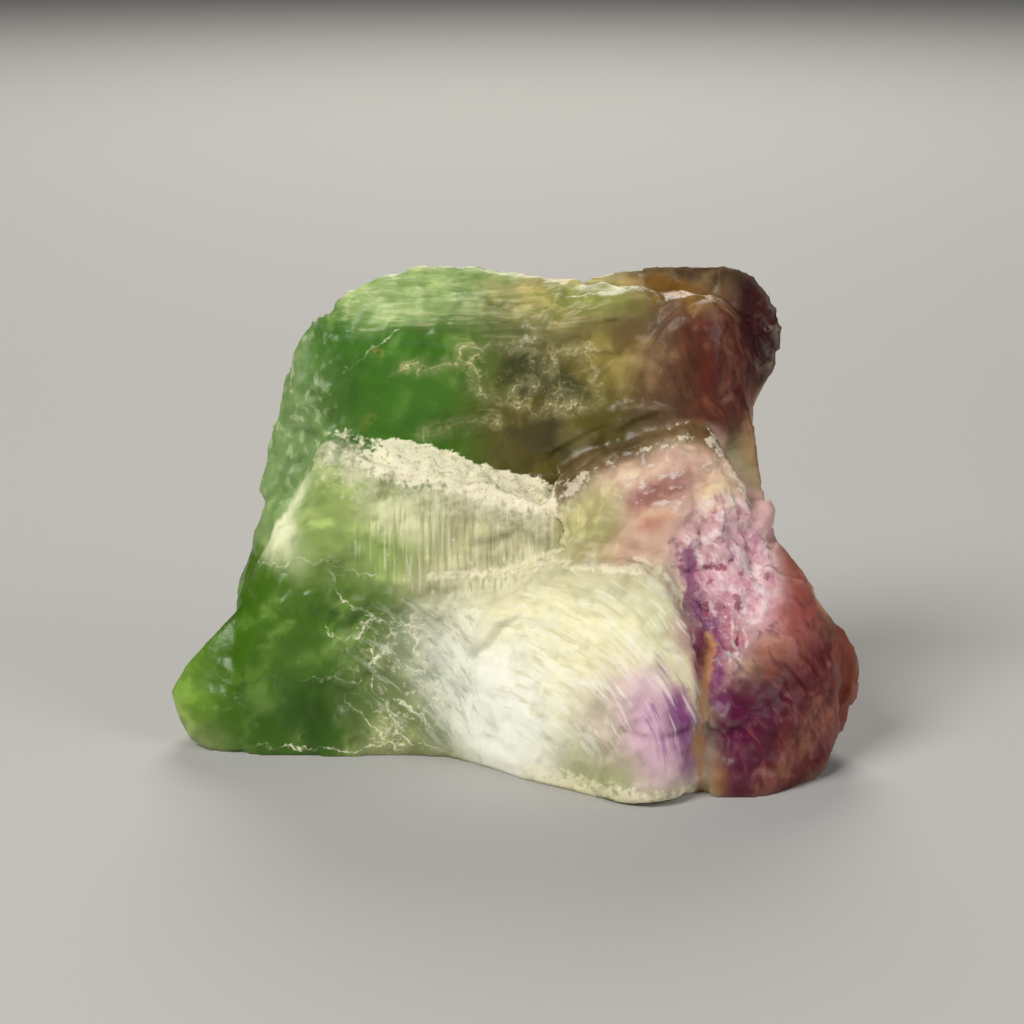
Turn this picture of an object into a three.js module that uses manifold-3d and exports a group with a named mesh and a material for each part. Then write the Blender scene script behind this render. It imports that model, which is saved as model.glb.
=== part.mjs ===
// A piece of rough fluorite, 65 mm wide, broken from a vein of green, clear and purple crystal.
// Millimetres, +Z up, -Y towards the viewer, +X to the viewer's right. The stone stands on z = 0.
//
// Fluorite splits along flat cleavage planes, so the stone is built from the convex blocks that
// its cleavage planes bound. The blocks are joined. Split layers, wedges along the cracks and
// small pits are taken out, and the whole skin is then worn a little uneven.

import * as THREE from 'three';
import { ConvexGeometry } from 'three/addons/geometries/ConvexGeometry.js';
import { TessellateModifier } from 'three/addons/modifiers/TessellateModifier.js';
import { mergeVertices } from 'three/addons/utils/BufferGeometryUtils.js';
import { ImprovedNoise } from 'three/addons/math/ImprovedNoise.js';
import Module from 'manifold-3d';

// Driving dimensions
const BACK = 16.5;            // y of the back cleavage plane at the foot of the stone
const NEAR_CORNER = -15.2;    // y of the corner that stands nearest the viewer
const TOE_X = -32.9;          // tip of the left toe
const FLAKE_X = 33.2;         // edge of the thin flake at the right end
const SHELF_FRONT = 3;        // y of the broken edge along the shelf
const UPPER_FRONT = 6.5;      // y of the upper face, set back behind the shelf
const TOP = 44.8;             // height of the top edge

const FACET_EDGE = 3.2;       // longest edge of a finished facet
const FACET_PASSES = 12;      // most times that a long edge is halved
const EDGE_WEAR = 0.4;        // share of the way that a corner moves towards its neighbours
const WEAR = [                // unevenness of the skin: [how far it moves, wavelength]
  [1, 11],
  [0.4, 6],
];
const WEAR_STEP = 17.3;       // how far apart the wear's two layers start in the noise
const WEAR_TURN = [31.7, 57.1]; // how far its sideways and upward shares start from the first
const BASE_BLEND = 2.5;       // height over which the wear fades out towards the flat base
const ON_BASE = 0.01;         // a corner lower than this lies on the base
const SAME_CORNER = 1e-3;     // corners nearer than this are one

const wasm = await Module();
wasm.setup();

function solidFrom(geometry) {
  geometry.deleteAttribute('normal');
  geometry.deleteAttribute('uv');
  const merged = mergeVertices(geometry, SAME_CORNER);
  return new wasm.Manifold(new wasm.Mesh({
    numProp: 3,
    vertProperties: merged.attributes.position.array,
    triVerts: new Uint32Array(merged.index.array),
  }));
}

function geometryFrom(solid) {
  const mesh = solid.getMesh();
  const geometry = new THREE.BufferGeometry();
  geometry.setAttribute('position', new THREE.BufferAttribute(mesh.vertProperties, 3));
  geometry.setIndex(new THREE.BufferAttribute(mesh.triVerts, 1));
  return geometry;
}

// The solid that the flat faces through a block's outermost corners enclose.
function block(...corners) {
  return solidFrom(new ConvexGeometry(corners.map((c) => new THREE.Vector3(...c))));
}

// The upper half of the stone: a tall face set back behind the shelf, a bevel along the top
// and a paler flank that turns away to the left.
function upperBody() {
  return block(
    [-17, UPPER_FRONT, 18], [-16.4, UPPER_FRONT + 0.6, 38.4], [-14, 8.2, 41],
    [14, UPPER_FRONT, 18], [12.5, UPPER_FRONT + 0.6, 38.8],
    [-24.8, 7, 18], [-24.6, 7.6, 21], [-22.9, 9, 27], [-21, 10, 34.6], [-19.2, 10, 39.6], [-17.4, 10.6, 41.6],
    [-14.6, 11.2, 43.4], [-11.4, 12, TOP - 0.4], [-9, 12.4, TOP], [-3.6, 12.6, TOP - 0.2],
    [1.4, 12.2, TOP - 0.9], [3.4, 12, TOP - 1.9], [8, 12, TOP - 2.4],
    [-21, BACK - 2, 34], [-12, BACK - 1, 42.4], [8, BACK - 0.5, 41],
    [-24.4, BACK - 3, 18], [14, BACK, 18],
  );
}

// Thin sheets of cleavage that end one behind the other in low steps up the bevel.
function bevelSteps() {
  const sheets = [
    { left: -15, right: 4, front: 7.4, foot: 33, lip: 40.6 },
    { left: -12.4, right: 0.4, front: 8.8, foot: 37, lip: 42.7 },
  ];
  return sheets.map(({ left, right, front, foot, lip }) => block(
    [left, front, foot], [left + 1.4, front - 0.2, lip - 1], [left + 3.4, front + 0.2, lip],
    [right - 3, front, lip - 0.4], [right, front - 0.2, lip - 1.6], [right + 1, front, foot],
    [left, front + 4, foot], [left + 3.4, front + 4, lip - 0.6], [right, front + 4, lip - 1.2],
  ));
}

// A shard of the upper face that ends in a small notch beside the lump.
function notchedShard() {
  return block(
    [2.4, 7.4, 39.4], [7, 7.2, 41.8], [12, 6.8, 42.7], [13.7, 6.6, 41.6], [12.6, 6.5, 38],
    [8, 7.4, 34], [3, 12, 42.6], [12.4, 11, 43.2], [14, 11, 41.6], [12, 12, 38],
  );
}

// A rounded, iron-stained lump at the right end of the upper face.
function brownLump() {
  return block(
    [14.2, 7.2, 41.2], [17.2, 6.4, 42.6], [20.4, 7, 41.8], [22, 8.2, 39.6],
    [10.4, 6.4, 38], [15.2, 5, 39.4], [19.4, 5, 38.6], [21.2, 6, 36.4], [22.2, 7.4, 34],
    [10, 6, 31], [15.2, 4.4, 34], [19.6, 4.6, 33], [21.6, 6.2, 29.6],
    [9.6, 6.4, 25], [20.4, 5.4, 26],
    [14, 12, 42.8], [20.4, 12, 42.6], [24, 11.6, 39.4], [23.6, 11, 33], [22, 12, 26],
  );
}

// The sheet of stone behind the lump, whose rim stands above it as a second ridge.
function backRidge() {
  return block(
    [5, 13, 41.8], [8.8, 13.4, 43.9], [14, 14, TOP - 0.1], [19.6, 14, TOP + 0.3],
    [22.8, 13.8, 44.3], [25, 13, 42.3], [26.2, 12.2, 39.4], [25.8, 11.8, 36.6],
    [24.2, 10.6, 33.6], [22.6, 9.6, 30.4],
    [8, BACK + 0.2, 39.6], [20, BACK + 0.4, 41.2], [23.8, 15.6, 36.6], [22, 15.8, 29],
    [10, BACK + 0.2, 20], [6, 13, 20],
  );
}

// The ochre neck that joins the lump and the back ridge to the foot of the stone.
function ochreNeck() {
  return block(
    [12, 6, 33], [22.4, 7.6, 33], [22.4, 7.6, 29.4], [22.4, 6.8, 26.4], [23, 5.6, 23.2],
    [24.2, 4, 20.4], [25.4, 3, 17], [12, 5, 16],
    [18, 2, 13], [22, 1.6, 15], [23.4, 2, 17.4], [24.4, 4, 10], [24.4, 8, 10],
    [22.8, 12, 32], [24.4, 13, 18], [13, 14, 32], [13, 14, 16],
  );
}

// The striated slab in front, whose broken upper edge is the shelf that crosses the stone.
function shelfSlab() {
  return block(
    [-16.6, SHELF_FRONT + 0.8, 28.7], [-13.3, SHELF_FRONT, 27], [-7.7, SHELF_FRONT - 0.2, 26.1],
    [-3, SHELF_FRONT - 0.4, 25], [3.1, SHELF_FRONT - 0.6, 23.7], [9, SHELF_FRONT - 1, 21],
    [-16.2, 7.6, 30.4], [-7, 7.6, 27.4], [4, 7.6, 24.8],
    [-19.9, 3.5, 24.7], [-24, 4.5, 17.5], [-25.6, 4.6, 13.6],
    [-17, 1.4, 16], [-8, 1.2, 15],
    [-25.6, 0.5, 5], [-25.4, -0.5, 0], [-5, 0, 0], [10, -1, 0],
    [-25.4, 12.4, 0], [10, 15, 0], [-23.8, 11, 20],
  );
}

// The smooth toe that the slab runs out into at the left.
function leftToe() {
  return block(
    [TOE_X, 3, 4.6], [-32, 2, 2.4], [-30.6, 1, 0.6], [-28.6, 0, 0], [-26.4, -0.5, 0], [-22, 1, 0],
    [-31.6, 3.6, 6.2], [-29.6, 4, 8.2], [-27.3, 4.2, 10.4], [-25, 4.4, 13.4], [-26.4, 0.6, 5], [-20, 3, 12],
    [-31.4, 6.4, 3.6], [-29.8, 7.8, 0], [-24, 14, 0], [-23, 11, 12],
  );
}

// The nearest slab: it swings out of the shelf slab and ends in the stone's near corner.
function nearSlab() {
  return block(
    [-9, 2.4, 12], [-5.8, 2.2, 16], [-3, 1, 17], [0.7, -1, 18.2], [4.4, -3, 19.4],
    [8, -5, 20.2], [12.1, -6.8, 20.4], [14.3, -7.6, 19], [16, -8.8, 16.4], [17, -9.8, 14],
    [17, -11.5, 9], [16.6, -13, 5.6], [16.2, NEAR_CORNER + 1.4, 0.4],
    [11.8, NEAR_CORNER, 0.2], [8.4, -12.4, 0], [2.4, -7.2, 0], [-6.6, -0.4, 0],
    [12.4, -11.8, 8], [4, -6, 8], [-2, -1.8, 6],
    [-3, 5, 17], [8, 4, 19.6], [15.6, 0, 18.4], [16, 4, 0], [-4, 6, 0],
  );
}

// The crusted, pink-white slab that leans on the upper body at the right.
function pinkSlab() {
  return block(
    [3.1, 2.2, 24], [7.3, 2.6, 27.6], [10.1, 2.8, 28.8], [12.9, 2.8, 30.2], [16, 2.8, 30.9],
    [18.5, 3, 30.8], [19.9, 2.6, 26.7], [21.8, 1.8, 24], [24.6, 1, 18.6],
    [5, -1.4, 19], [10, -1.6, 22], [15, -3, 21], [16.4, -5, 16.6], [19.6, -2.8, 20],
    [22, -4, 14.6], [17, -6, 10],
    [6, 8, 27.2], [17.6, 8, 31], [23.4, 7, 19],
  );
}

// A small pink knob on the edge of the pink slab, below the ochre neck.
function pinkKnob() {
  return block(
    [22.6, 2.2, 24], [24.4, 2.6, 23.8], [25.2, 2.8, 22.8], [25.2, 2.4, 21.4], [23, 1.2, 20.6],
    [23.6, 1, 22.4], [22, 3.6, 23], [24.6, 4.6, 22.8], [24.4, 4.4, 20.8], [22.4, 4.6, 21],
  );
}

// The dark purple lobe at the lower right, and the shoulder above it.
function rightLobe() {
  return block(
    [18, -12.4, 0], [20.6, -12.6, 0], [24, -11.6, 0], [28.4, -7, 0], [29.6, -4, 1],
    [30.6, -2.4, 5], [31.2, -1, 11.8], [29.6, -0.4, 14.8], [27, 0.4, 18.2], [24.8, 1.4, 20.4],
    [19.6, -5, 16], [17.8, -8, 12.6], [19.2, -11.4, 7], [22, -11, 7.4], [26.6, -8.2, 7],
    [24.6, -6.6, 13], [19, -8.6, 13.4],
    [28.4, 8, 0], [30, 6, 6], [29.4, 6.4, 12], [24.6, 8, 18.6],
  );
}

// A thin flake that stands proud at the right end.
function endFlake() {
  return block(
    [29.4, -0.8, 13.8], [31.6, -0.4, 12.2], [33, 0, 9.6], [FLAKE_X, 0.2, 7.2], [32.8, 0.2, 4.4],
    [31.6, -0.2, 2], [29.4, -1, 1.6], [27.6, -1.6, 8],
    [30.4, 3.2, 12], [31.6, 3.4, 8], [31, 3.2, 3.6], [27, 5, 2], [27, 5, 13],
  );
}

// The plain mass behind, whose foot is the stone's back edge.
function backMass() {
  return block(
    [-29, 8.4, 0], [-26.6, 6.4, 8], [-24.8, 7.4, 17], [-24.6, 14.6, 0], [-16, BACK, 0],
    [21, BACK, 0], [27.6, 10.4, 0], [28.6, 5, 0], [28, 6, 12], [25.2, 6, 18.6], [24.4, 13, 19],
    [-24, 13, 18], [-21.8, 14, 31], [-14, BACK - 0.4, 30], [15, BACK + 0.3, 31], [21.6, 13.4, 30],
    [-20, 6, 4], [22, 2, 4],
  );
}

// What joins the near slab, the pink slab, the right lobe and the back below the surface.
function frontCore() {
  return block(
    [4, -4, 0], [12, -12.4, 0], [23, -10.4, 0], [27, -5, 0], [26.4, -4.6, 8], [22, -3, 14],
    [13, -11, 8], [17.6, -9.4, 9], [13.6, -5.6, 17], [23, 2, 17.6], [4, 6, 18], [26, 10, 0],
    [2, 11, 0], [23, 10, 14],
  );
}

// Layers that have split off the back and left two low steps across it.
function splitLayers() {
  return [
    block(
      [-30, 14.4, 27], [-6, 15, 22], [4, 15.4, 26], [-1, 14.4, 48], [-30, 12.8, 48],
      [-30, 20, 26], [-6, 20, 21], [4, 20, 25], [-1, 20, 48], [-30, 20, 48],
    ),
    block(
      [12, 15.4, -1], [34, 11, -1], [34, 10.4, 15], [15, 14.6, 12.4],
      [12, 22, -1], [34, 22, -1], [34, 22, 16], [15, 22, 13.4],
    ),
  ];
}

// A wedge of missing stone along a crack: its root lies inside the stone, and its mouth is as
// wide as twice the gape.
function crack(from, to, outward, gape, depth) {
  const ends = [new THREE.Vector3(...from), new THREE.Vector3(...to)];
  const out = new THREE.Vector3(...outward).normalize();
  const along = new THREE.Vector3().subVectors(ends[1], ends[0]).normalize();
  const side = new THREE.Vector3().crossVectors(along, out).multiplyScalar(gape);
  const roots = ends.map((end) => end.clone().addScaledVector(out, -depth));
  const lips = ends.flatMap((end) => [end.clone().add(side), end.clone().sub(side)]);
  const beyond = lips.map((lip) => lip.clone().addScaledVector(out, depth));
  return block(...[...roots, ...lips, ...beyond].map((p) => p.toArray()));
}

// A small angular pit, where a crystal has come out of the crust.
function pit([x, y, z], reach) {
  return block(
    [x - reach, y, z - 0.4 * reach], [x + reach, y + 0.3 * reach, z + 0.5 * reach],
    [x, y - reach, z - 0.2 * reach], [x + 0.2 * reach, y + reach, z],
    [x - 0.3 * reach, y, z + 1.1 * reach], [x + 0.4 * reach, y - 0.2 * reach, z - 1.2 * reach],
  );
}

const wholeBlocks = [
  upperBody(), ...bevelSteps(), notchedShard(), brownLump(), backRidge(), ochreNeck(),
  shelfSlab(), leftToe(), nearSlab(), pinkSlab(), pinkKnob(), rightLobe(), endFlake(), backMass(),
  frontCore(),
];

const missing = [
  ...splitLayers(),
  crack([17.6, -13.4, -1], [17.8, -10.6, 10], [0.1, -1, 0.1], 0.8, 2),
  crack([17.8, -10.6, 9.6], [16.2, -6.4, 17.4], [0.3, -1, 0.3], 0.8, 1.6),
  crack([14.4, -5, 21], [17.2, -6.6, 15.6], [0.4, -1, 0.4], 0.6, 1.4),
  pit([19.6, -4.4, 19], 1.7), pit([22.2, -4.6, 16], 1.5), pit([18.6, -3.4, 23], 1.3),
  pit([20.4, -6.8, 13.6], 1.4),
];

const joined = wholeBlocks.reduce((whole, next) => whole.add(next));
const stone = missing.reduce((whole, cut) => whole.subtract(cut), joined);

// Edges worn round: each corner of the skin moves part of the way towards its neighbours.
// The corners of the flat base keep their height.
function wornRound(skin) {
  const place = skin.attributes.position;
  const corners = skin.index.array;
  const neighbours = Array.from({ length: place.count }, () => new Set());
  for (let i = 0; i < corners.length; i += 3) {
    for (let j = 0; j < 3; j += 1) {
      neighbours[corners[i + j]].add(corners[i + (j + 1) % 3]);
      neighbours[corners[i + (j + 1) % 3]].add(corners[i + j]);
    }
  }
  const pointAt = (i) => new THREE.Vector3().fromBufferAttribute(place, i);
  const moved = neighbours.map((around, i) => {
    const middle = new THREE.Vector3();
    around.forEach((j) => middle.addScaledVector(pointAt(j), 1 / around.size));
    const point = pointAt(i);
    const next = point.clone().lerp(middle, EDGE_WEAR);
    next.z = point.z < ON_BASE ? point.z : next.z;
    return next;
  });
  moved.forEach((point, i) => place.setXYZ(i, ...point.toArray()));
}

// Uneven wear: a smooth three-way noise moves the skin but leaves the base flat.
const noise = new ImprovedNoise();

function unevenAt(point) {
  const shift = new THREE.Vector3();
  WEAR.forEach(([amount, wavelength], layer) => {
    const [x, y, z] = point.toArray().map((v) => v / wavelength + WEAR_STEP * (layer + 1));
    shift.x += amount * noise.noise(x, y, z);
    shift.y += amount * noise.noise(y, z, x + WEAR_TURN[0]);
    shift.z += amount * noise.noise(z, x + WEAR_TURN[1], y);
  });
  shift.z *= THREE.MathUtils.smoothstep(point.z, 0, BASE_BLEND);
  return shift;
}

function unevenlyWorn(skin) {
  const place = skin.attributes.position;
  const point = new THREE.Vector3();
  for (let i = 0; i < place.count; i += 1) {
    point.fromBufferAttribute(place, i);
    point.add(unevenAt(point));
    place.setXYZ(i, ...point.toArray());
  }
}

function fluorite() {
  const tessellation = new TessellateModifier(FACET_EDGE, FACET_PASSES);
  const facets = tessellation.modify(geometryFrom(stone).toNonIndexed());
  const skin = mergeVertices(facets, SAME_CORNER);
  wornRound(skin);
  unevenlyWorn(skin);
  skin.computeBoundingBox();
  const middle = skin.boundingBox.getCenter(new THREE.Vector3());
  skin.translate(-middle.x, -middle.y, 0);
  skin.computeVertexNormals();
  const material = new THREE.MeshStandardMaterial({ color: 0x9fc48a, roughness: 0.25, metalness: 0 });
  const mesh = new THREE.Mesh(skin, material);
  mesh.name = 'fluorite';
  return mesh;
}

const group = new THREE.Group();
group.add(fluorite());

export default group;
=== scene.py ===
import bpy
import math
import numpy as np
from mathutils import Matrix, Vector


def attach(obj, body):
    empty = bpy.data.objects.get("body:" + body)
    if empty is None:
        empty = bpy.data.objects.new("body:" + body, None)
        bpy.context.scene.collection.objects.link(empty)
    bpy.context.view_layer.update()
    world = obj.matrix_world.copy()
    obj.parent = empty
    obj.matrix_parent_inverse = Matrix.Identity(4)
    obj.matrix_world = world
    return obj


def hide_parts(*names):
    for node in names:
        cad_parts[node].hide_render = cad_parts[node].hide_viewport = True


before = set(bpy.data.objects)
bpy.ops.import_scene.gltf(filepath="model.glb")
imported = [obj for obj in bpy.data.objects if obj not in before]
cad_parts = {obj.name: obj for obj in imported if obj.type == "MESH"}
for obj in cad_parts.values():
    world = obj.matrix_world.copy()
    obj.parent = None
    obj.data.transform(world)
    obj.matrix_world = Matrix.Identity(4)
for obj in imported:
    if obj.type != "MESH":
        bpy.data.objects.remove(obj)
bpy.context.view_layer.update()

MM = 0.001

# Camera: a little above the stone and a quarter of a metre in front of it, with a long lens.
camera_height = math.radians(15.0)
camera_distance = 262.0 * MM
camera_target = Vector((0.0, -2.4, 24.0)) * MM

camera = bpy.data.cameras.new("camera")
camera.lens = 100.0
camera.sensor_width = 36.0
camera.clip_start = 0.01
camera_object = bpy.data.objects.new("camera", camera)
toward_camera = Vector((0.0, -math.cos(camera_height), math.sin(camera_height)))
camera_object.location = camera_target + toward_camera * camera_distance
camera_object.rotation_euler = (math.radians(90.0) - camera_height, 0.0, 0.0)
bpy.context.scene.collection.objects.link(camera_object)
bpy.context.scene.camera = camera_object


# The stone: one piece of fluorite, grown in bands of green, clear and purple crystal. It was
# broken from its vein along cleavage planes, so its skin is fresh ledges and flakes at the
# front, with an iron-stained lump above and a sugary pink crust at the right.

skin_grain = 0.35 * MM          # size of the faces of the finished skin
edge_rounding = 2               # passes that take the sharpness off the broken edges

stone = bpy.data.objects.new("rough_fluorite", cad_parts["fluorite"].data.copy())
bpy.context.scene.collection.objects.link(stone)


def settled(thing):
    """A plain mesh of the thing with its modifiers worked out, which are then taken off."""
    bpy.context.view_layer.update()
    worked_out = thing.evaluated_get(bpy.context.evaluated_depsgraph_get())
    mesh = bpy.data.meshes.new_from_object(worked_out)
    thing.modifiers.clear()
    return mesh


weld = stone.modifiers.new("weld", "WELD")
weld.merge_threshold = 0.001 * MM
remesh = stone.modifiers.new("remesh", "REMESH")
remesh.mode = "VOXEL"
remesh.voxel_size = skin_grain
rounding = stone.modifiers.new("rounding", "SMOOTH")
rounding.factor = 0.5
rounding.iterations = edge_rounding
stone.data = settled(stone)

# Where the stone's features run: (x, z) points in millimetres, as seen from the front. Each
# broken edge runs from left to right.
shelf_edge = [(-16.6, 28.7), (-13.3, 27.0), (-7.7, 26.2), (-2.0, 24.8), (3.2, 23.7)]
pink_rim = [
    (3.0, 24.0), (7.3, 27.4), (10.0, 28.8), (13.0, 30.1), (18.0, 31.0), (19.5, 28.5), (21.0, 26.0),
    (22.9, 22.7),
]
near_ledge = [
    (-7.7, 17.0), (-3.0, 17.3), (4.4, 19.5), (12.2, 19.9), (14.0, 18.7), (16.3, 15.4), (18.0, 13.5),
]
crumbly_foot = [(2.0, 1.0), (7.0, 0.8), (12.0, 0.6), (16.0, 0.6)]
purple_fissure = [(15.9, 20.6), (16.2, 18.6), (16.8, 16.4), (17.8, 14.4), (18.2, 9.0)]
ochre_seam = [(18.0, 13.4), (17.3, 8.5), (17.0, 5.0), (17.2, 0.2)]
ochre_streaks = [(-13.0, 37.0), (-12.6, 34.7), (-13.2, 32.3), (-13.5, 29.9)]
cloudy_veins = [
    [(-10.5, 35.4), (-6.7, 36.6), (-3.9, 37.4), (-0.5, 38.0), (4.0, 37.6)],
    [(-3.9, 37.0), (-3.3, 34.9), (-2.1, 33.0), (0.3, 31.6), (4.5, 31.9), (7.8, 32.3), (7.6, 35.0)],
    [(0.2, 33.3), (2.2, 34.7), (1.7, 37.4)],
    [(3.1, 35.6), (4.5, 37.4), (7.3, 37.5)],
    [(-8.2, 29.6), (-5.4, 30.2), (-1.1, 31.0)],
]
healed_cracks = [
    [(-15.7, 35.5), (-13.3, 37.3), (-10.8, 39.4)],
    [(-8.3, 29.4), (-8.1, 27.3)],
    [(-24.0, 17.0), (-20.0, 18.2), (-16.0, 17.9), (-13.0, 17.1)],
    [(-17.0, 17.1), (-15.7, 14.8), (-12.4, 13.1), (-8.6, 12.5), (-5.8, 12.8)],
    [(-17.1, 11.9), (-15.7, 10.5), (-14.3, 11.9), (-12.9, 13.1)],
    [(-13.2, 10.1), (-13.4, 6.3), (-12.0, 4.9), (-11.0, 3.0), (-9.6, 1.1)],
    [(-13.2, 9.1), (-11.5, 10.1), (-10.1, 8.7), (-6.8, 6.5), (-4.4, 5.1)],
    [(-19.0, 7.1), (-13.4, 6.8)],
    [(-15.3, 5.3), (-12.4, 2.1), (-10.6, 0.3)],
    [(-11.0, 5.4), (-7.7, 3.2), (-4.4, 1.7)],
    [(-10.5, 9.1), (-6.8, 5.6), (-3.9, 2.8)],
    [(-6.0, 10.9), (0.7, 11.0), (4.4, 12.4), (7.1, 12.3), (8.0, 11.2)],
    [(-24.0, 0.8), (-17.0, 0.6), (-10.6, 1.1), (-5.8, 0.8)],
]


def skin_values(mesh, name):
    values = np.empty(len(mesh.vertices) * 3, np.float32)
    mesh.vertices.foreach_get(name, values)
    return values.reshape(-1, 3).astype(float)


def eased(values):
    inside = np.clip(values, 0.0, 1.0)
    return inside * inside * (3.0 - 2.0 * inside)


def beside(lines):
    """How far each point of the front is from the nearest line, in millimetres. It is less than
    0 on one side of the line, so that it passes through 0 between the points of the skin."""
    seen_flat = points[:, (0, 2)]
    nearest = np.full(len(points), 1e9)
    side = np.ones(len(points))
    for line in lines:
        for start, end in zip(line, line[1:]):
            start, end = np.array(start), np.array(end)
            run = end - start
            away = seen_flat - start
            along = np.clip(away @ run / (run @ run), 0.0, 1.0)
            gap = np.linalg.norm(away - along[:, None] * run, axis=1)
            nearer = gap < nearest
            nearest[nearer] = gap[nearer]
            side[nearer] = np.sign(away[:, 0] * run[1] - away[:, 1] * run[0])[nearer]
    return nearest, nearest * side


def beside_share(lines, reach):
    """1 on the lines, falling evenly to 0 at the reach, on what faces the front."""
    turned_front = eased(0.7 - 1.4 * facing[:, 1])
    not_behind = eased((13.0 - points[:, 1]) / 3.0)
    return np.clip(1.0 - beside(lines)[0] / reach, 0.0, 1.0) * (turned_front * not_behind)


def level_top(line):
    """1 on the level top just behind a broken edge."""
    gap, signed_gap = beside([line])
    reach = np.where(signed_gap < 0.0, 3.6, 1.2)    # above the line, and below it
    faces_up = eased((facing[:, 2] - 0.35) / 0.2)
    by_the_face = eased((face_depth + 1.8 - points[:, 1]) / 0.6)
    return faces_up * by_the_face * eased((reach - gap) / 0.8)


def broken_edge(line, reach):
    """1 on the level top behind a broken edge, falling evenly to 0 at the reach below it."""
    return np.maximum(level_top(line), beside_share([line], reach) * in_front)


def inside_oval(centre, reach, firmness=0.5):
    """1 in the middle of an oval, falling smoothly to 0 at its edge."""
    gap = np.linalg.norm((points - np.array(centre)) / np.array(reach), axis=1)
    return eased((1.0 - gap) / (1.0 - firmness))


def keep_on_skin(mesh, name, values):
    layer = mesh.attributes.new(name, "FLOAT", "POINT")
    layer.data.foreach_set("value", np.asarray(values, np.float32))


def neighbours(mesh):
    """The two ends of each edge, and how many edges meet at each point."""
    ends = np.empty(len(mesh.edges) * 2, np.int32)
    mesh.edges.foreach_get("vertices", ends)
    count = np.maximum(np.bincount(ends, minlength=len(mesh.vertices)), 1)
    return ends.reshape(-1, 2), count


def neighbour_mean(values, ends, count):
    near = np.bincount(ends[:, 0], values[ends[:, 1]], len(count))
    far = np.bincount(ends[:, 1], values[ends[:, 0]], len(count))
    return (near + far) / count


# The seam between the near slab and the lobe has healed into a soft fold, and the lump grows
# out of the upper face with no step.
points = skin_values(stone.data, "co") / MM
facing = skin_values(stone.data, "normal")
ends, count = neighbours(stone.data)
above_the_foot = eased((points[:, 2] - 0.1) / 1.5)
healing = eased(1.6 * beside_share([ochre_seam], 3.2)) * above_the_foot
healing = np.maximum(healing, inside_oval((10.5, 5.5, 35.5), (7, 4, 6.4), 0.5))
healing_passes = 40
pull_per_pass = 0.6
for _ in range(healing_passes):
    for axis in range(3):
        shift = neighbour_mean(points[:, axis], ends, count) - points[:, axis]
        points[:, axis] += shift * healing * pull_per_pass
stone.data.vertices.foreach_set("co", (points * MM).astype(np.float32).ravel())
stone.data.update()

points = skin_values(stone.data, "co") / MM
facing = skin_values(stone.data, "normal")
upper_face = 5.2                # how far back the face above the shelf stands
bulge_start = 8.0               # where that face starts to come nearer, towards the lump
lump_bulge = 0.07               # how much nearer it comes for each millimetre
face_depth = upper_face - lump_bulge * np.maximum(points[:, 0] - bulge_start, 0.0)
in_front = eased((face_depth - points[:, 1]) / 0.7)

# The shelf's crust thins at its left end and stops at its right one. The rim of the pink slab
# shows on what leans to the front, and fades past its right corner.
crust_thins_left = 0.35 + 0.65 * eased((points[:, 0] + 15.5) / 5.0)
crust_ends_right = eased((4.4 - points[:, 0]) / 0.8)
rim_shows = eased((0.85 - facing[:, 2]) / 0.3) * eased((face_depth - 1.2 - points[:, 1]) / 0.6)
rim_shows = rim_shows * (0.45 + 0.55 * eased((19.5 - points[:, 0]) / 1.5))
regions = {
    "in_front": in_front,
    "shelf_crust": broken_edge(shelf_edge, 1.7) * crust_thins_left * crust_ends_right,
    "shelf_milk": beside_share([shelf_edge], 5.0) * in_front * eased((5.4 - points[:, 0]) / 2.0),
    "pink_rim": beside_share([pink_rim], 1.2) * rim_shows,
    "stained_top": level_top(pink_rim) * eased(21.5 - points[:, 0]),
    "ledge": beside_share([near_ledge], 1.0),
    "foot": beside_share([crumbly_foot], 2.0),
    "fissure": beside_share([purple_fissure], 2.0),
    "seam": beside_share([ochre_seam], 1.2),
    "ochre_streaks": beside_share([ochre_streaks], 2.5),
    "ochre_streaks_off": beside([ochre_streaks])[1],
    "cloudy_veins": beside_share(cloudy_veins, 2.6),
    "cloudy_veins_off": beside(cloudy_veins)[1],
    "healed_cracks": beside_share(healed_cracks, 2.0),
    "healed_cracks_off": beside(healed_cracks)[1],
    "shelf_face": inside_oval((-2, 1, 20), (16, 5, 6.5)),
    "bevel": inside_oval((-4, 9, 42), (19, 8, 5)),
    "layered": inside_oval((0, 17, 12), (32, 6, 16), 0.3),
    "crusty": np.maximum(
        inside_oval((20, -3, 19), (6, 7, 9)),
        inside_oval((19, -6, 13), (4, 6, 6)),
    ),
    "lobe": inside_oval((25, -6, 7), (9, 12, 12)),
    "flank": inside_oval((-22, 9, 32), (8, 12, 14)),
    "islands": inside_oval((2, 6, 35), (9, 9, 5), 0.3),
    "netted": inside_oval((-6, 0, 8.5), (12, 8, 11), 0.3),
    "smooth": np.maximum.reduce([
        inside_oval((-26, 2, 6), (12, 12, 11), 0.5),
        inside_oval((-4, 6, 32.5), (16, 4, 7.5), 0.6),
        inside_oval((18.5, 6, 35), (7, 8, 8), 0.5) * 0.7,
    ]),
    "fibred": inside_oval((8, -6, 11), (13, 12, 12), 0.5),
    "purple_fibres": inside_oval((14.4, -11, 8), (4, 8, 8), 0.3),
    "pink_wisps": inside_oval((14, 1, 25.4), (8, 5, 6), 0.4) * in_front,
    "lump": inside_oval((18.5, 6, 35), (7, 8, 8), 0.4),
}
for name, values in regions.items():
    keep_on_skin(stone.data, name, values)


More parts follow.
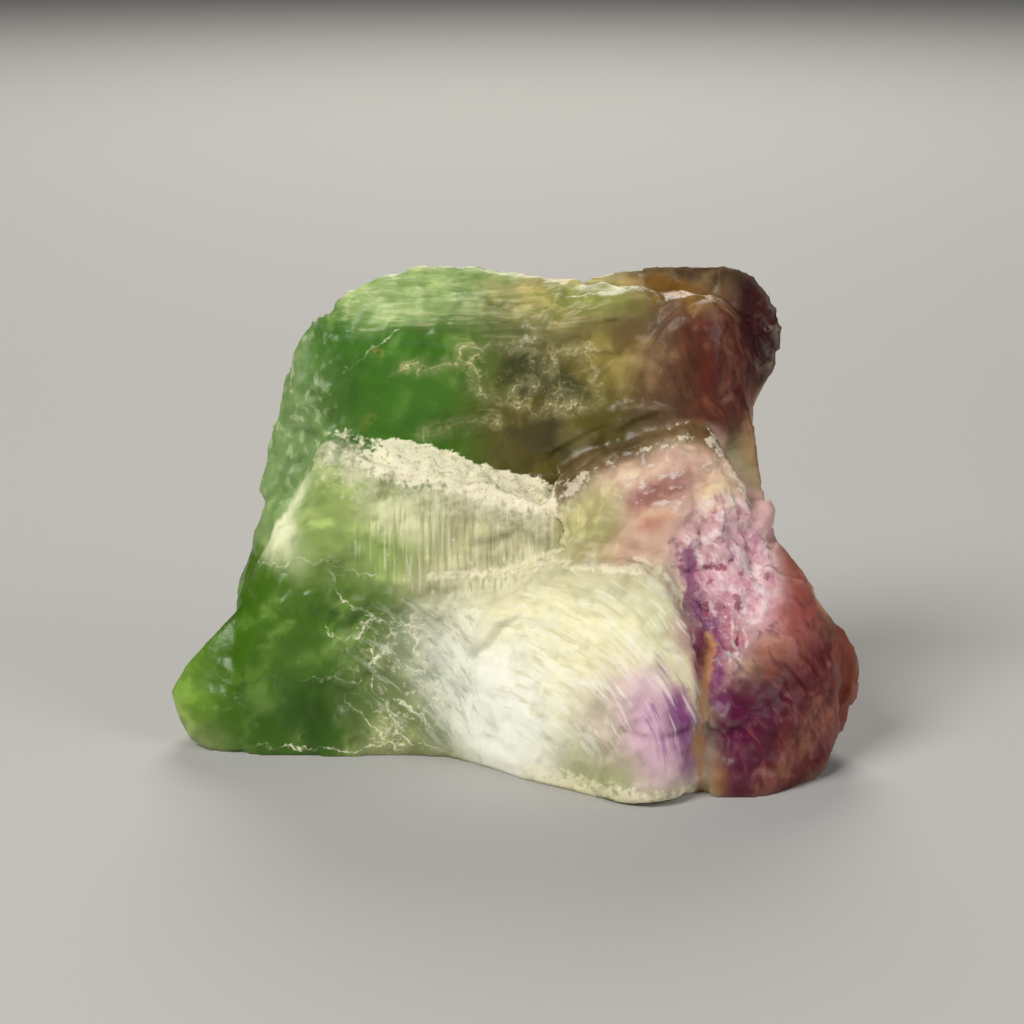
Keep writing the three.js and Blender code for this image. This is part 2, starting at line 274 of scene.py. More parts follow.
def add(tree, kind, inputs=(), out=0, **settings):
    """A node with its settings and inputs in place; gives one of its outputs."""
    node = tree.nodes.new(kind)
    for name, value in settings.items():
        setattr(node, name, value)
    for place, value in (inputs.items() if isinstance(inputs, dict) else enumerate(inputs)):
        if isinstance(value, bpy.types.NodeSocket):
            tree.links.new(value, node.inputs[place])
        else:
            node.inputs[place].default_value = value
    return node.outputs[out]


def maths(tree, operation, *values):
    return add(tree, "ShaderNodeMath", values, operation=operation)


def times(*values):
    """The product of sockets and numbers, in the tree of the first socket."""
    tree = next(v.id_data for v in values if isinstance(v, bpy.types.NodeSocket))
    product = values[0]
    for value in values[1:]:
        product = maths(tree, "MULTIPLY", product, value)
    return product


def total(*values):
    tree = next(v.id_data for v in values if isinstance(v, bpy.types.NodeSocket))
    whole = values[0]
    for value in values[1:]:
        whole = maths(tree, "ADD", whole, value)
    return whole


def greatest(*values):
    tree = values[0].id_data
    most = values[0]
    for value in values[1:]:
        most = maths(tree, "MAXIMUM", most, value)
    return most


def vector(tree, operation, *values):
    out = "Value" if operation in ("LENGTH", "DOT_PRODUCT") else "Vector"
    return add(tree, "ShaderNodeVectorMath", values, out=out, operation=operation)


def scaled(tree, value, amount):
    inputs = {"Vector": value, "Scale": amount}
    return add(tree, "ShaderNodeVectorMath", inputs, operation="SCALE")


def rise(value, low, high):
    """0 below low, 1 above high, smooth between; falls instead when low is the larger."""
    inputs = {"Value": value, "From Min": low, "From Max": high}
    return add(value.id_data, "ShaderNodeMapRange", inputs, interpolation_type="SMOOTHSTEP")


lump_share = 0.6                # how much of the noise's own step one of its lumps fills


def grain(where, size, detail=2.0, roughness=0.5, out=0):
    """Cloudy noise whose lumps are about the size, in metres."""
    fixed = isinstance(size, float)
    scale = lump_share / size if fixed else maths(size.id_data, "DIVIDE", lump_share, size)
    inputs = {"Vector": where, "Detail": detail, "Roughness": roughness, "Scale": scale}
    return add(where.id_data, "ShaderNodeTexNoise", inputs, out=out)


def mixed(amount, first, second):
    """The second colour laid over the first by the amount."""
    inputs = {0: amount, 6: first, 7: second}
    return add(amount.id_data, "ShaderNodeMix", inputs, out=2, data_type="RGBA")


def between(amount, first, second):
    inputs = {0: amount, 2: first, 3: second}
    return add(amount.id_data, "ShaderNodeMix", inputs, out=0, data_type="FLOAT")


def between_places(amount, first, second):
    inputs = {0: amount, 4: first, 5: second}
    return add(amount.id_data, "ShaderNodeMix", inputs, out=1, data_type="VECTOR")


def seen(red, green, blue):
    """A colour as the eye reads it, 0 to 255, turned into light."""
    parts = [v / 255 for v in (red, green, blue)]
    light = [((v + 0.055) / 1.055) ** 2.4 if v > 0.04 else v / 12.92 for v in parts]
    return (*light, 1.0)


relief_sizes = {
    "Facet Height": 0.32 * MM,
    "Facet Size": 6.0 * MM,
    "Chip Height": 0.16 * MM,
    "Chip Size": 2.2 * MM,
    "Layer Height": 0.22 * MM,
    "Layer Gap": 1.9 * MM,
    "Swell Height": 0.4 * MM,
    "Wear Height": 0.35 * MM,
    "Wear Size": 1.5 * MM,
    "Striation Height": 0.06 * MM,
    "Striation Gap": 0.9 * MM,
    "Crust Height": 0.6 * MM,
    "Crust Size": 0.9 * MM,
    "Flake Height": 0.5 * MM,
    "Flake Size": 1.5 * MM,
    "Base Fade": 1.6 * MM,
}
relief_seed = 3.7

relief = bpy.data.node_groups.new("broken_skin", "GeometryNodeTree")
relief.interface.new_socket("Geometry", in_out="INPUT", socket_type="NodeSocketGeometry")
for name in list(relief_sizes) + ["Seed"]:
    relief.interface.new_socket(name, in_out="INPUT", socket_type="NodeSocketFloat")
relief.interface.new_socket("Material", in_out="INPUT", socket_type="NodeSocketMaterial")
relief.interface.new_socket("Geometry", in_out="OUTPUT", socket_type="NodeSocketGeometry")
given = relief.nodes.new("NodeGroupInput").outputs

place = add(relief, "GeometryNodeInputPosition")
normal = add(relief, "GeometryNodeInputNormal")
drifted = vector(relief, "ADD", place, scaled(relief, (1.3, 0.7, 1.9), given["Seed"]))
half = (0.5, 0.5, 0.5)
broad_wander = vector(relief, "SUBTRACT", grain(drifted, 8 * MM, out="Color"), half)
fine_wander = vector(relief, "SUBTRACT", grain(drifted, 2.2 * MM, 3.0, out="Color"), half)
wandered = vector(
    relief, "ADD", place,
    vector(relief, "ADD", scaled(relief, broad_wander, 8 * MM), scaled(relief, fine_wander, 3 * MM)),
)
wandered_x = add(relief, "ShaderNodeSeparateXYZ", [wandered], out="X")
height = add(relief, "ShaderNodeSeparateXYZ", [place], out="Z")


def region(name):
    return add(relief, "GeometryNodeInputNamedAttribute", {"Name": name}, data_type="FLOAT")


def centred(value):
    return maths(relief, "SUBTRACT", value, 0.5)


def tilted_cells(size, height, warp, where=drifted):
    """Each cell of the skin is a flat facet with a tilt of its own, and a step where it ends."""
    shifted = vector(relief, "ADD", where, scaled(relief, fine_wander, warp))
    cell_place = scaled(relief, shifted, maths(relief, "DIVIDE", 1.0, size))
    inputs = {"Vector": cell_place, "Scale": 1.0, "Smoothness": 0.12}
    cell = add(relief, "ShaderNodeTexVoronoi", inputs, feature="SMOOTH_F1").node.outputs
    tilt = vector(relief, "SUBTRACT", cell["Color"], half)
    reach = vector(relief, "SUBTRACT", cell_place, cell["Position"])
    return times(vector(relief, "DOT_PRODUCT", tilt, reach), height, 3.0)


facets = tilted_cells(given["Facet Size"], given["Facet Height"], 1.5 * MM)
chips = tilted_cells(given["Chip Size"], given["Chip Height"], 1.0 * MM)
upright_place = vector(relief, "MULTIPLY", drifted, (1.0, 1.0, 0.5))
flakes = tilted_cells(given["Flake Size"], given["Flake Height"], 1.2 * MM, upright_place)


# Layers: thin curved sheets round the near slab, and level ones along the bevel and the back,
# each ending in a low step.
def sheets(across, gap):
    uneven = total(maths(relief, "DIVIDE", across, gap), times(centred(grain(drifted, 3 * MM)), 1.6))
    return maths(relief, "FRACT", uneven)


bent = vector(relief, "ADD", place, scaled(relief, broad_wander, 5 * MM))
from_middle = vector(relief, "SUBTRACT", bent, (1 * MM, 0.0, 2 * MM))
outward = add(relief, "ShaderNodeSeparateXYZ", [from_middle]).node.outputs
ring = maths(relief, "SQRT", total(times(outward["X"], outward["X"]), times(outward["Z"], outward["Z"])))
round_slab = times(centred(sheets(ring, given["Layer Gap"])), region("fibred"))
level_share = greatest(times(region("bevel"), 1.4), region("layered"))
level_steps = times(centred(sheets(outward["Z"], given["Layer Gap"])), level_share)
layers = times(total(round_slab, level_steps), given["Layer Height"])

# Wear: broad swellings, and small hollows where the skin is rough.
swells = times(centred(grain(drifted, 6 * MM)), given["Swell Height"], 2.0)
rough_share = total(greatest(times(region("lobe"), 0.6), region("crusty"), region("flank")), 0.25)
wear = times(centred(grain(drifted, given["Wear Size"], 4.0, 0.6)), given["Wear Height"], 2.0, rough_share)

# Striations: upright on the face below the shelf.
turns = maths(relief, "DIVIDE", 2 * math.pi, given["Striation Gap"])
upright = maths(relief, "SINE", times(wandered_x, turns))
striations = times(upright, region("shelf_face"), given["Striation Height"])

# Crust: sugary lumps and holes along the broken edges and over the pink side.
crust_share = greatest(
    region("shelf_crust"), times(region("pink_rim"), 0.8), region("crusty"), times(region("foot"), 0.7),
    times(region("ledge"), 0.4),
)
crust_lumps = centred(grain(drifted, given["Crust Size"], 4.0, 0.75))
crust = times(crust_lumps, 2.0, crust_share, given["Crust Height"])

above_base = rise(height, 0.02 * MM, given["Base Fade"])
broken_share = total(times(region("smooth"), -0.7), 1.0)
flakes = times(flakes, region("crusty"))
broken = times(total(facets, chips, swells, wear), broken_share)
all_relief = total(broken, layers, striations, crust, flakes)
push = scaled(relief, normal, times(all_relief, above_base))

# The growth bands: the stone's colour and clearness change from band to band, and the lime rim of the toe
# is also lightened as a painted glow. Middles and reaches are in millimetres; colours are as the eye sees
# them; clearness runs from 0, milky, to
# 1, clear; a firm band ends sharply. The bands in front end at the broken edge of the shelf and
# of the pink slab.
through_bands = [
    # name, middle, reach, colour, clearness, firmness
    ("pale green back", (-2, 16, 14), (24, 9, 9), (160, 182, 116), 0.5, 0.1),
    ("violet band of the back", (9, 17, 13.4), (11, 8, 2.8), (154, 112, 148), 0.5, 0.1),
    ("lower violet band of the back", (-8, 17, 10), (10, 8, 2.2), (142, 110, 140), 0.5, 0.1),
    ("pink band of the back", (15, 16, 20), (12, 9, 3.8), (204, 160, 148), 0.35, 0.2),
    ("rosy right side", (27, 7, 16), (7, 14, 14), (178, 124, 110), 0.3, 0.2),
    ("green band of the back", (-2, 16, 5), (20, 8, 3), (120, 156, 74), 0.6, 0.1),
    ("left flank", (-22, 9, 32), (8, 30, 20), (130, 160, 98), 0.3, 0.5),
    ("upper green window", (-8, 7, 32), (12, 30, 11), (88, 148, 42), 0.8, 0.5),
    ("upper left window", (-13, 8, 39), (7, 30, 5), (84, 146, 42), 0.7, 0.3),
    ("olive upper face", (5, 7, 30), (12, 30, 12), (118, 106, 42), 0.8, 0.4),
    ("olive yellow glow", (10, 7, 36.5), (6, 30, 4), (150, 134, 60), 0.6, 0.1),
    ("dark island", (0.8, 6, 35.3), (2.8, 3, 2.2), (86, 92, 48), 0.8, 0.6),
    ("lesser dark island", (4.8, 6, 34.4), (2.4, 3, 2.0), (92, 90, 50), 0.8, 0.6),
    ("dark olive foot", (4.6, 6, 29.8), (8, 3, 2.0), (98, 88, 48), 0.8, 0.5),
    ("green bevel", (-9, 11, 42.8), (14, 30, 3.6), (166, 192, 120), 0.3, 0.4),
    ("olive bevel", (7, 10, 41.2), (9, 30, 3), (176, 158, 94), 0.4, 0.3),
    ("rusty lump", (19, 7, 36), (8.5, 30, 9), (104, 38, 26), 0.5, 0.4),
    ("brown haze of the lump", (14, 5, 35), (5, 5, 5.4), (112, 80, 54), 0.5, 0.1),
    ("golden rim of the lump", (16, 7, 42), (6, 30, 2.6), (156, 112, 50), 0.5, 0.2),
    ("notched shard", (8.4, 8, 41.4), (6.4, 4, 2.8), (164, 168, 88), 0.5, 0.4),
    ("dark ridge", (16, 15, 43.8), (13, 3.6, 3.6), (88, 60, 32), 0.5, 0.6),
    ("ridge end", (25, 12, 38), (3.6, 30, 8), (66, 22, 22), 0.5, 0.5),
    ("ochre neck", (22.8, 9, 27.6), (4, 8, 6), (162, 108, 62), 0.3, 0.4),
    ("toe", (-22, 4, 8), (13, 30, 12), (92, 144, 26), 0.8, 0.6),
    # The toe's rim is lighter lime than the toe: its own colour, with a painted glow of light through the
    # thin edge.
    ("lime rim of the toe with painted glow", (-31, 4, 6), (4, 20, 5), (128, 176, 52), 0.7, 0.1),
    ("toe heart", (-17, 2, 11), (7, 30, 8), (96, 142, 46), 0.8, 0.2),
    ("toe foot", (-20, 1, 3.6), (7, 20, 4), (76, 116, 44), 0.8, 0.2),
    ("shoulder", (25, 0, 15.4), (4, 20, 4.4), (168, 86, 76), 0.3, 0.3),
    ("right lobe", (26, -6, 6), (9, 26, 8.4), (114, 32, 36), 0.45, 0.6),
    ("foot of the lobe", (21.6, -8, 1.4), (6, 20, 3.6), (106, 46, 40), 0.4, 0.2),
    ("purple heart of the lobe", (20.6, -9, 7), (3.6, 26, 8), (100, 16, 66), 0.5, 0.2),
    ("pink knob", (23.9, 3, 22.2), (2.6, 5, 3), (212, 144, 166), 0.2, 0.5),
    ("end flake", (31.6, 0, 7), (2.6, 20, 8), (160, 76, 54), 0.6, 0.4),
]
front_bands = [
    ("shelf face", (-1, 2, 20.5), (15, 20, 9), (194, 188, 146), 0.4, 0.6),
    ("green shelf end", (-15, 2, 20), (8, 20, 9), (164, 188, 104), 0.4, 0.3),
    ("milky shelf corner", (-10.5, 2, 22.4), (4.4, 10, 3.2), (236, 236, 186), 0.2, 0.1),
    ("bright flank", (-21.4, 3, 21), (2.9, 7, 5.4), (250, 255, 208), 0.1, 0.3),
    ("toe heart", (-17, 2, 11), (7, 30, 7), (96, 142, 46), 0.8, 0.3),
    ("lower middle", (-8, 1, 6), (8, 30, 9), (130, 146, 86), 0.5, 0.3),
    ("grey haze", (-6, -1, 9), (5, 20, 6), (204, 208, 190), 0.4, 0.1),
    ("near slab", (5, -5, 13), (13, 22, 9), (255, 248, 204), 0.2, 0.3),
    ("white heart of the near slab", (-0.5, -3, 5.6), (8, 20, 8), (255, 255, 240), 0.2, 0.3),
    ("lilac corner", (12.4, -10, 6), (5.6, 14, 6), (222, 176, 200), 0.2, 0.2),
    ("purple streaks", (15, -12, 7.6), (2, 12, 5), (140, 66, 126), 0.4, 0.2),
    ("pink slab", (15, 1, 24.4), (11, 20, 7), (219, 179, 157), 0.2, 0.7),
    ("green end of the pink slab", (7.6, 1, 23.4), (5, 12, 4.6), (188, 180, 122), 0.4, 0.3),
    ("rust blotch", (13.4, 0, 25.8), (2.8, 8, 2.6), (166, 112, 102), 0.3, 0.4),
    ("lesser rust blotch", (14.2, 0, 22.6), (1.6, 8, 1.2), (186, 120, 96), 0.3, 0.1),
    ("peach side", (19, 0, 25.6), (3.2, 4, 4.4), (246, 204, 164), 0.2, 0.2),
    ("lilac crust", (20, -3, 18.4), (5.2, 14, 7), (228, 180, 188), 0.1, 0.4),
    ("foot of the lilac crust", (18.8, -7, 13.4), (3.4, 10, 4), (168, 96, 118), 0.1, 0.3),
    ("ochre wedge", (18.2, -8, 1.6), (1.8, 6, 3.6), (186, 116, 62), 0.3, 0.2),
    ("shoulder", (25.4, 0, 15), (3.8, 20, 4.2), (168, 86, 76), 0.3, 0.3),
    ("foot of the ochre neck", (22.6, 8, 28.6), (3, 30, 4.8), (168, 102, 40), 0.3, 0.7),
]
plain_colour = (190, 190, 140)
plain_clearness = 0.5
soft_spill = 0.35               # how far the softest band spreads past its reach, as a share of it
band_colour = seen(*plain_colour)
clearness = plain_clearness
for bands, where in ((through_bands, 1.0), (front_bands, region("in_front"))):
    for name, middle, reach, own_colour, own_clearness, firmness in bands:
        away = vector(relief, "SUBTRACT", wandered, tuple(v * MM for v in middle))
        shares = vector(relief, "DIVIDE", away, tuple(v * MM for v in reach))
        share = rise(vector(relief, "LENGTH", shares), 1.0 + (1.0 - firmness) * soft_spill, firmness)
        share = times(share, where)
        band_colour = mixed(share, band_colour, seen(*own_colour))
        clearness = between(share, clearness, own_clearness)

# The level top behind the pink slab is stained brown.
stain_colour = (122, 98, 58)
band_colour = mixed(times(region("stained_top"), 0.85), band_colour, seen(*stain_colour))

# The way the fibres run: round the near slab, upright below the shelf, leaning on the lump and
# the lobe, and level along the bevel and over the back.
turn = times(maths(relief, "ARCTAN2", outward["Z"], outward["X"]), 1.0 * MM)
leaning = add(relief, "ShaderNodeVectorRotate", {"Vector": bent, "Angle": 0.45}, rotation_type="Y_AXIS")
falling = add(relief, "ShaderNodeVectorRotate", {"Vector": bent, "Angle": -0.7}, rotation_type="Y_AXIS")
straighter = vector(relief, "ADD", place, scaled(relief, broad_wander, 1.2 * MM))
around = add(relief, "ShaderNodeCombineXYZ", [ring, turn, times(outward["Y"], 0.2)])


def stretched(where, shares):
    """Places in which the distance along the fibres counts less than the distance across."""
    return vector(relief, "MULTIPLY", where, shares)


fibre_ways = [
    # region, the way they run, strength, light fibres, dark fibres
    ("netted", stretched(falling, (0.12, 0.5, 1.0)), 0.35, (242, 242, 226), (132, 146, 104)),
    ("fibred", around, 0.5, (255, 254, 238), (214, 210, 164)),
    ("purple_fibres", around, 0.6, (240, 216, 228), (150, 96, 150)),
    ("shelf_face", stretched(straighter, (1.4, 0.6, 0.05)), 0.45, (248, 244, 212), (142, 146, 94)),
    ("pink_wisps", stretched(bent, (0.4, 0.5, 0.5)), 0.5, (248, 234, 228), (200, 154, 144)),
    ("lump", stretched(leaning, (0.6, 0.5, 0.15)), 0.4, (156, 90, 62), (62, 24, 22)),
    ("lobe", stretched(leaning, (0.7, 0.5, 0.2)), 0.45, (164, 90, 92), (84, 30, 46)),
    ("crusty", stretched(leaning, (0.7, 0.5, 0.25)), 0.6, (252, 230, 232), (190, 116, 150)),
    ("flank", stretched(bent, (0.5, 0.5, 0.35)), 0.45, (206, 226, 172), (100, 142, 66)),
    ("layered", stretched(bent, (0.06, 0.5, 0.8)), 0.4, (226, 220, 194), (124, 122, 96)),
    ("bevel", stretched(straighter, (0.07, 0.6, 1.0)), 0.42, (226, 232, 178), (98, 132, 54)),
]
fibre_place = stretched(bent, (0.5, 0.5, 0.8))
fibre_share = 0.0
light_fibre = dark_fibre = seen(*plain_colour)
for name, way, strength, light, dark in fibre_ways:
    turned = rise(region(name), 0.02, 0.12)
    fibre_place = between_places(turned, fibre_place, way)
    fibre_share = between(turned, fibre_share, times(rise(region(name), 0.12, 0.6), strength))
    light_fibre = mixed(turned, light_fibre, seen(*light))
    dark_fibre = mixed(turned, dark_fibre, seen(*dark))


# Veils and flaws: clouds at many sizes, and a noise that is 0 along long thin lines.
clouds = grain(wandered, 2.6 * MM, 3.0, 0.68)
flaws_off = centred(grain(place, 3.6 * MM, 3.0, 0.62))


def stored(geometry, name, value, kind):
    inputs = {"Geometry": geometry, "Name": name, "Value": value}
    return add(relief, "GeometryNodeStoreNamedAttribute", inputs, data_type=kind, domain="POINT")


shaped = given["Geometry"]
shaped = stored(shaped, "band_colour", band_colour, "FLOAT_COLOR")
shaped = stored(shaped, "clearness", clearness, "FLOAT")
shaped = stored(shaped, "clouds", clouds, "FLOAT")
shaped = stored(shaped, "flaws_off", flaws_off, "FLOAT")
shaped = stored(shaped, "fibre_place", fibre_place, "FLOAT_VECTOR")
shaped = stored(shaped, "fibre_share", fibre_share, "FLOAT")
shaped = stored(shaped, "light_fibre", light_fibre, "FLOAT_COLOR")
shaped = stored(shaped, "dark_fibre", dark_fibre, "FLOAT_COLOR")
shaped = add(relief, "GeometryNodeSetPosition", {"Geometry": shaped, "Offset": push})
shaped = add(relief, "GeometryNodeRealizeInstances", [shaped])
shaped = add(relief, "GeometryNodeSetShadeSmooth", {"Geometry": shaped, "Shade Smooth": True})
shaped = add(relief, "GeometryNodeSetMaterial", {"Geometry": shaped, "Material": given["Material"]})
end = relief.nodes.new("NodeGroupOutput")
relief.links.new(shaped, end.inputs["Geometry"])

# Fluorite's finish: glassy where the cleavage is fresh, sugary on the crust, with fibres,
# veils, healed cracks and specks inside it.
vein_colour = (232, 222, 165)
# The pale colour of the healed cracks, also used for the painted glints.
crack_and_glint_colour = (238, 236, 205)
crust_colour = (252, 244, 212)
grain_colour = (216, 206, 160)
rim_colour = (250, 234, 208)
flake_colour = (250, 230, 228)
# Dark magenta between the flakes: partly the crystal's purple, partly painted shade.
hollow_purple_and_shade_colour = (156, 60, 98)
fissure_colour = (120, 44, 100)
seam_colour = (208, 150, 86)
ochre_colour = (190, 178, 92)
lightening = (0.8, 0.8, 0.72, 1.0)      # how a pale veil lightens what is under it
darkening = (0.5, 0.52, 0.46, 1.0)      # and a dark one darkens it
fluorite_ior = 1.434                    # fluorite bends light less than glass does
clear_roughness = 0.22                  # where the crystal is clear
milky_roughness = 0.55                  # and where it is milky
most_through = 0.6                      # how much of the light the clearest skin lets in
body_tint = (0.74, 0.78, 0.66, 1.0)
body_absorption = 60.0                  # for each metre of crystal that the light goes through
bump_height = 0.2 * MM

fluorite = bpy.data.materials.new("fluorite")
fluorite.use_nodes = True
skin = fluorite.node_tree
skin.nodes.clear()


def on_skin(name, out="Fac"):
    return add(skin, "ShaderNodeAttribute", attribute_name=name, out=out)


def centre_line(value):
    """How far a noise is from its middle value, which is least along thin winding lines."""
    return maths(skin, "ABSOLUTE", maths(skin, "SUBTRACT", value, 0.5))


spot = add(skin, "ShaderNodeTexCoord", out="Object")
colour = on_skin("band_colour", "Color")
clear = on_skin("clearness")
crusty = on_skin("crusty")
islands = on_skin("islands")
net_share = on_skin("netted")


def blended(amount, first, second, way="MIX"):
    """The second colour laid over the first by an amount that is the same all over."""
    inputs = {0: amount, 6: first, 7: second}
    return add(skin, "ShaderNodeMix", inputs, out=2, data_type="RGBA", blend_type=way)


# Veils: the milky and dark clouds, which follow the bands.
clouds = on_skin("clouds")
milk = times(rise(clouds, 0.5, 0.7), between(on_skin("smooth"), 0.8, 0.5))
lit = blended(1.0, colour, lightening, "OVERLAY")
colour = mixed(milk, colour, blended(0.16, lit, seen(*vein_colour)))
dimmed = blended(1.0, colour, darkening, "MULTIPLY")
colour = mixed(times(rise(clouds, 0.5, 0.3), 0.6), colour, dimmed)
clear = times(clear, between(milk, 1.0, 0.6))

# Fibres, pale and dark, in the colours of each part of the skin.
fibres = grain(on_skin("fibre_place", "Vector"), 0.3 * MM, 2.0, 0.6)
fibre_share = on_skin("fibre_share")
colour = mixed(times(rise(fibres, 0.53, 0.66), fibre_share), colour, on_skin("light_fibre", "Color"))
colour = mixed(times(rise(fibres, 0.47, 0.35), fibre_share), colour, on_skin("dark_fibre", "Color"))

# Healed cracks and cloudy veins, which wind and come and go, with threads and specks, and pale dots
# painted as glints of light.
crackle = grain(spot, 1.2 * MM, 3.0, 0.6)
wobble = maths(skin, "SUBTRACT", crackle, 0.5)
pores = grain(spot, 0.4 * MM, 2.0, 0.7)
sugar = times(total(pores, -0.5), 1.6)


def winding(name, width, winds):
    """Thin along the named lines, which wind by the noise; width and winding in millimetres."""
    off = maths(skin, "ABSOLUTE", total(on_skin(name + "_off"), times(wobble, winds)))
    return times(rise(off, width, 0.0), rise(on_skin(name), 0.4, 0.7))


flaws = maths(skin, "ABSOLUTE", on_skin("flaws_off"))
shows = rise(clouds, 0.42, 0.6)
filaments = rise(centre_line(crackle), 0.035, 0.0)
beaded = total(times(rise(pores, 0.42, 0.56), 0.7), 0.3)
fine_flaws = times(rise(flaws, 0.014, 0.0), total(times(net_share, 0.8), 0.06), shows)
cracks = times(winding("healed_cracks", 0.16, 3.0), total(times(shows, 0.7), 0.3))
cracks = times(greatest(fine_flaws, cracks), beaded)
colour = mixed(cracks, colour, seen(*crack_and_glint_colour))
beside_veins = winding("cloudy_veins", 1.6, 5.0)
vein_glow = times(beside_veins, total(times(shows, 0.6), 0.4))
vein_core = greatest(winding("cloudy_veins", 0.2, 5.0), times(beside_veins, filaments))
vein_core = times(vein_core, total(times(shows, 0.7), 0.3))
threads = times(islands, shows, greatest(filaments, rise(flaws, 0.03, 0.0)))
veins = times(greatest(times(vein_core, 0.85), times(threads, 0.35)), beaded)
colour = mixed(times(vein_glow, 0.4), colour, seen(*vein_colour))
colour = mixed(veins, colour, seen(*vein_colour))
ochre = times(winding("ochre_streaks", 0.7, 6.0), shows)
colour = mixed(times(ochre, 0.8), colour, seen(*ochre_colour))
sparse = times(rise(pores, 0.64, 0.7), rise(clouds, 0.46, 0.6))
speckled = total(greatest(net_share, times(on_skin("shelf_face"), 0.6), times(islands, 0.5)), 0.05)
colour = mixed(times(sparse, speckled), colour, seen(*crust_colour))
# Sparkle: pale dots on the netted part, painted as glints of light.
painted_glints = times(net_share, rise(pores, 0.54, 0.64), rise(clouds, 0.38, 0.54), 0.6)
colour = mixed(painted_glints, colour, seen(*crack_and_glint_colour))
clear = times(clear, between(greatest(veins, cracks), 1.0, 0.3))

# The pink side: white flakes, with dark magenta between them, partly the crystal's purple and partly
# painted shade in the hollows.
purple_and_shade_of_hollows = times(crusty, rise(crackle, 0.41, 0.33))
colour = mixed(times(crusty, rise(crackle, 0.52, 0.62), 0.6), colour, seen(*flake_colour))
colour = mixed(times(purple_and_shade_of_hollows, 0.8), colour, seen(*hollow_purple_and_shade_colour))


# Crust, ledge, fissure and seam, which are fresh and pale or stained.
def ragged(name, low, high, sugared=1.0, winds=1.0):
    """The named share of the skin with a ragged edge between low and high."""
    share = on_skin(name)
    edge = total(share, times(sugar, sugared), times(wobble, winds))
    return times(rise(edge, low, high), rise(share, 0.0, 0.15))


colour = mixed(times(ragged("shelf_milk", 0.2, 1.0), 0.6), colour, seen(*crust_colour))
crust_here = ragged("shelf_crust", 0.25, 0.75)
foot_here = ragged("foot", 0.5, 0.8)
ledge_here = ragged("ledge", 0.6, 0.95, 0.6)
crust_here = greatest(crust_here, times(ledge_here, 0.7), times(foot_here, 0.6))
grainy_crust = mixed(rise(pores, 0.47, 0.33), seen(*crust_colour), seen(*grain_colour))
colour = mixed(times(crust_here, 0.9), colour, grainy_crust)
colour = mixed(times(ragged("pink_rim", 0.3, 0.6), 0.8), colour, seen(*rim_colour))
colour = mixed(times(ragged("fissure", 0.35, 0.8, 0.3, 2.4), 0.8), colour, seen(*fissure_colour))
colour = mixed(times(ragged("seam", 0.35, 0.9, 0.3, 1.6), 0.7), colour, seen(*seam_colour))
milky = greatest(crust_here, times(crusty, 0.7))
clear = times(clear, between(milky, 1.0, 0.1))
# Edges that stand out are paled: partly the whiteness of fresh breaks, partly a painted glow on thin rims.
fewer_pale_edges = greatest(on_skin("smooth"), on_skin("lobe"), on_skin("lump"))
pale_worn_and_lit_edges = times(on_skin("edge"), between(fewer_pale_edges, 0.6, 0.1))
colour = mixed(pale_worn_and_lit_edges, colour, blended(0.2, colour, seen(*crust_colour)))

# Fine relief: fibres and pinholes too small for the skin's faces.
bump = skin.nodes.new("ShaderNodeBump")
bump.inputs["Strength"].default_value = 0.6
bump.inputs["Distance"].default_value = bump_height
pore_share = total(times(greatest(crusty, on_skin("shelf_crust")), 1.2), 0.25)
skin.links.new(total(times(fibres, 0.4), times(pores, pore_share)), bump.inputs["Height"])

shader = skin.nodes.new("ShaderNodeBsdfPrincipled")
shader.inputs["IOR"].default_value = fluorite_ior
shader.inputs["Specular IOR Level"].default_value = 0.32
skin.links.new(colour, shader.inputs["Base Color"])
skin.links.new(between(clear, milky_roughness, clear_roughness), shader.inputs["Roughness"])
skin.links.new(times(rise(clear, 0.15, 0.95), most_through), shader.inputs["Transmission Weight"])
skin.links.new(bump.outputs["Normal"], shader.inputs["Normal"])

haze = skin.nodes.new("ShaderNodeVolumeAbsorption")
haze.inputs["Color"].default_value = body_tint
haze.inputs["Density"].default_value = body_absorption

surface = skin.nodes.new("ShaderNodeOutputMaterial")
skin.links.new(shader.outputs["BSDF"], surface.inputs["Surface"])
skin.links.new(haze.outputs["Volume"], surface.inputs["Volume"])

breaking = stone.modifiers.new("breaking", "NODES")
breaking.node_group = relief
for item in relief.interface.items_tree:
    if item.in_out == "INPUT" and item.name in relief_sizes:
        breaking[item.identifier] = relief_sizes[item.name]
    if item.in_out == "INPUT" and item.name == "Seed":
        breaking[item.identifier] = relief_seed
    if item.in_out == "INPUT" and item.name == "Material":
        breaking[item.identifier] = fluorite
stone.data = settled(stone)


# Pale edges, partly wear and partly painted light: how many millimetres a point stands out by on a blunt
# and on a sharp edge.
blunt_edge = 0.015
sharp_edge = 0.06
evening_passes = 2


def sharpness(mesh):
    """How far each point of the skin stands out beyond its neighbours, from 0 to 1."""
    places = skin_values(mesh, "co") / MM
    normals = skin_values(mesh, "normal")
    ends, count = neighbours(mesh)
    middles = np.stack([neighbour_mean(places[:, axis], ends, count) for axis in range(3)], axis=1)
    stands_out = np.einsum("ij,ij->i", places - middles, normals)
    for _ in range(evening_passes):
        stands_out = 0.5 * stands_out + 0.5 * neighbour_mean(stands_out, ends, count)
    return np.clip((stands_out - blunt_edge) / (sharp_edge - blunt_edge), 0.0, 1.0)


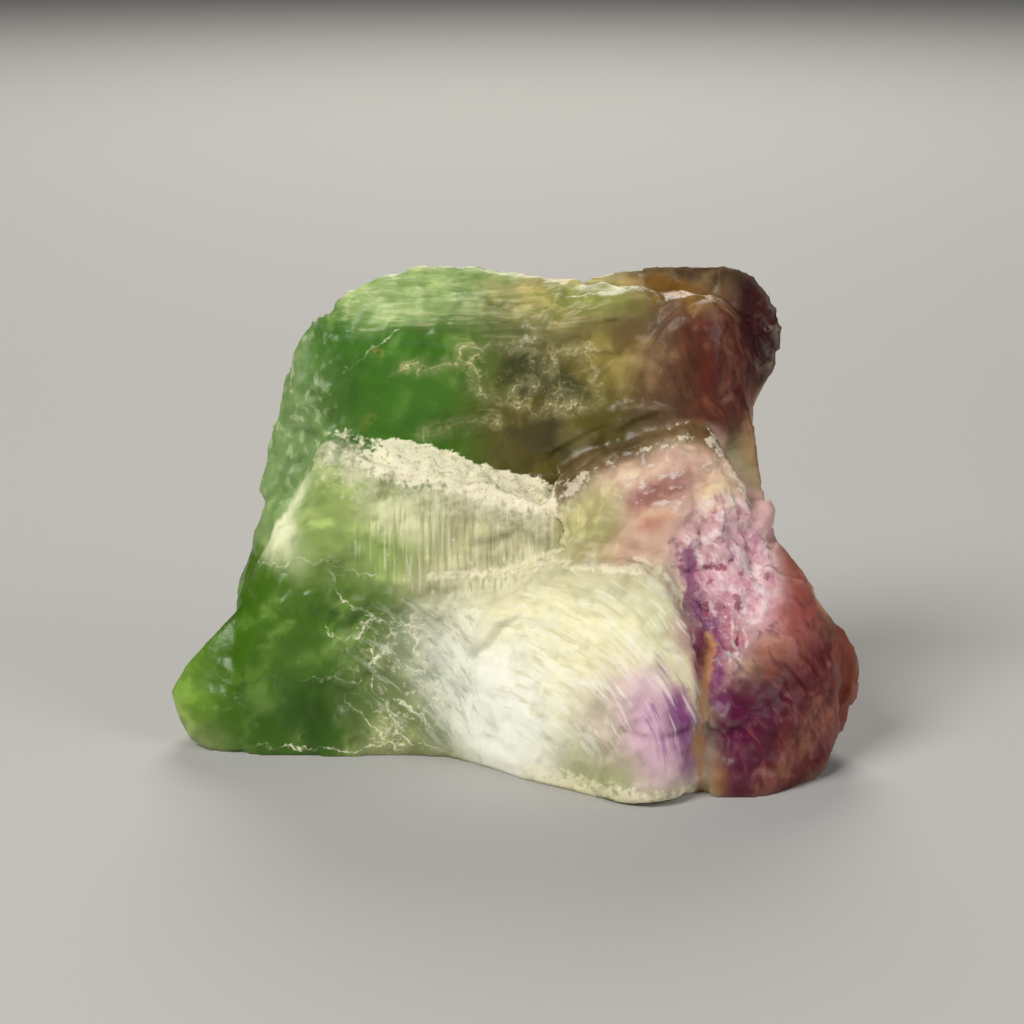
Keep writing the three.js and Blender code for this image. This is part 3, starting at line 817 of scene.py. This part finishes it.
keep_on_skin(stone.data, "edge", sharpness(stone.data))

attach(stone, "root")
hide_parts("fluorite")


# The floor: a plain pale sheet that runs well past the view.
floor_reach = 1.5
floor_mesh = bpy.data.meshes.new("floor")
floor_mesh.from_pydata(
    [(-floor_reach, -floor_reach, 0), (floor_reach, -floor_reach, 0), (floor_reach, floor_reach, 0),
     (-floor_reach, floor_reach, 0)],
    [], [(0, 1, 2, 3)],
)
floor = bpy.data.objects.new("floor", floor_mesh)
bpy.context.scene.collection.objects.link(floor)
floor_paint = bpy.data.materials.new("floor_paint")
floor_paint.use_nodes = True
floor_paint.node_tree.nodes["Principled BSDF"].inputs["Base Color"].default_value = (0.5, 0.49, 0.475, 1.0)
floor_paint.node_tree.nodes["Principled BSDF"].inputs["Roughness"].default_value = 0.8
floor_mesh.materials.append(floor_paint)


# The light: a broad soft lamp from the upper left, a weaker one from the right, and a high one
# behind that shines through the stone.
def soft_lamp(name, place, size, watts, tint):
    lamp = bpy.data.lights.new(name, "AREA")
    lamp.shape = "DISK"
    lamp.size = size
    lamp.energy = watts
    lamp.color = tint
    lamp_object = bpy.data.objects.new(name, lamp)
    lamp_object.location = place
    lamp_object.visible_camera = False
    aim = Vector((0.0, 0.0, 0.02)) - Vector(place)
    lamp_object.rotation_euler = aim.to_track_quat("-Z", "Y").to_euler()
    bpy.context.scene.collection.objects.link(lamp_object)


soft_lamp("key_lamp", (-0.35, -0.35, 0.45), 0.35, 3.6, (1.0, 0.98, 0.95))
soft_lamp("fill_lamp", (0.45, -0.25, 0.25), 0.35, 1.0, (0.95, 0.97, 1.0))
soft_lamp("back_lamp", (0.0, 0.6, 0.45), 0.4, 2.8, (1.0, 0.97, 0.9))

world = bpy.data.worlds.new("room")
world.use_nodes = True
world.node_tree.nodes["Background"].inputs["Color"].default_value = (0.8, 0.8, 0.8, 1.0)
world.node_tree.nodes["Background"].inputs["Strength"].default_value = 0.08
bpy.context.scene.world = world
bpy.context.scene.view_settings.view_transform = "Standard"
